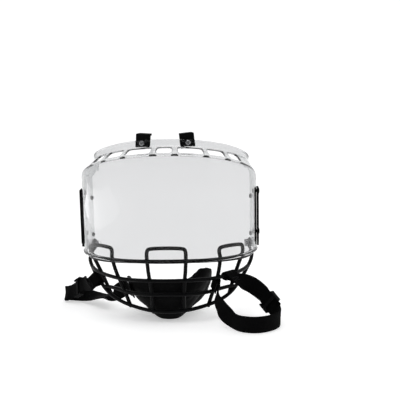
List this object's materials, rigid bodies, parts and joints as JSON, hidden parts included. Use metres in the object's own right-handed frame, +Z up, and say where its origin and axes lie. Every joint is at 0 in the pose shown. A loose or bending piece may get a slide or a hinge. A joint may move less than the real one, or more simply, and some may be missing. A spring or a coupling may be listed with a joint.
{
  "type": "ice hockey full-face protector with clear visor, chin cage, chin cup and straps",
  "caption": "Wraparound clear visor with brow vents over a black wire chin cage, with a moulded chin cup, webbing chin straps with sliders, top clips and side plates.",
  "frame": {"origin": "on the flat base patch under the chin cup, on the object's mid plane", "axes": "+X towards the viewer's right of the upright object and its longest extent, front of the window faces -Y, +Z up"},
  "size_m": [0.2799, 0.1539, 0.2275],
  "materials": {
    "clear_polycarbonate": "polished clear moulding, hard-coated",
    "black_wire_coating": "satin black coating over steel wire",
    "black_cup_plastic": "matte black moulding with soft sheen",
    "black_clip_plastic": "fine-grained black moulding",
    "black_webbing": "plain-woven narrow webbing",
    "dark_screw_steel": "blackened steel, worn bright at the edges"
  },
  "bodies": {
    "root": {"visor_shell": "clear_polycarbonate", "wire_cage": "black_wire_coating", "chin_cup": "black_cup_plastic", "top_clip_left": "black_clip_plastic", "clip_screw_left": "dark_screw_steel", "side_plate_left": "black_clip_plastic", "plate_rivet_left_lower": "black_clip_plastic", "plate_rivet_left_upper": "black_clip_plastic", "wing_stud_left_lower": "black_clip_plastic", "wing_stud_left_upper": "black_clip_plastic", "cage_screw_left": "dark_screw_steel", "top_clip_right": "black_clip_plastic", "clip_screw_right": "dark_screw_steel", "side_plate_right": "black_clip_plastic", "plate_rivet_right_lower": "black_clip_plastic", "plate_rivet_right_upper": "black_clip_plastic", "wing_stud_right_lower": "black_clip_plastic", "wing_stud_right_upper": "black_clip_plastic", "cage_screw_right": "dark_screw_steel", "chin_strap_left": "black_webbing", "strap_slider_left": "black_clip_plastic", "chin_strap_right": "black_webbing", "strap_slider_right": "black_clip_plastic"}
  },
  "joints": []
}
